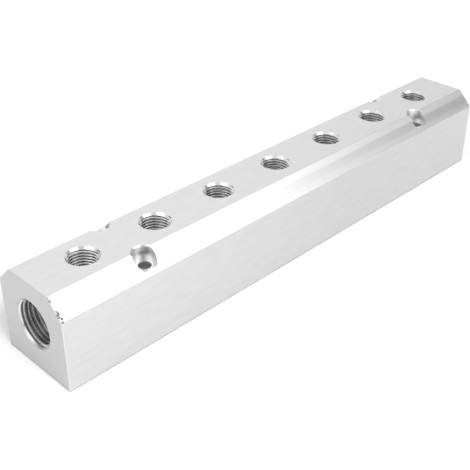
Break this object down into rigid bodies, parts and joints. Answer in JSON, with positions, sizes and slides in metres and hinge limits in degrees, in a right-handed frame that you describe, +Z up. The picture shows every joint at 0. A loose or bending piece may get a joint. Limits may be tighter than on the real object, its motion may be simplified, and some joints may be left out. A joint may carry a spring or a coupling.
{
  "type": "air manifold block",
  "caption": "Square aluminium bar with chamfered top edges, a row of tapped outlets on top, tapped inlets at the ends and counterbored mounting holes.",
  "frame": {"origin": "centre of the flat underside", "axes": "+X along the bar, +Z up out of the outlet ports, -Y towards the front face"},
  "size_m": [0.266, 0.04, 0.04],
  "materials": {
    "aluminium": "natural drawn aluminium, fine lengthwise lines, bright machined ports"
  },
  "bodies": {
    "root": {"manifold_block": "aluminium"}
  },
  "joints": []
}
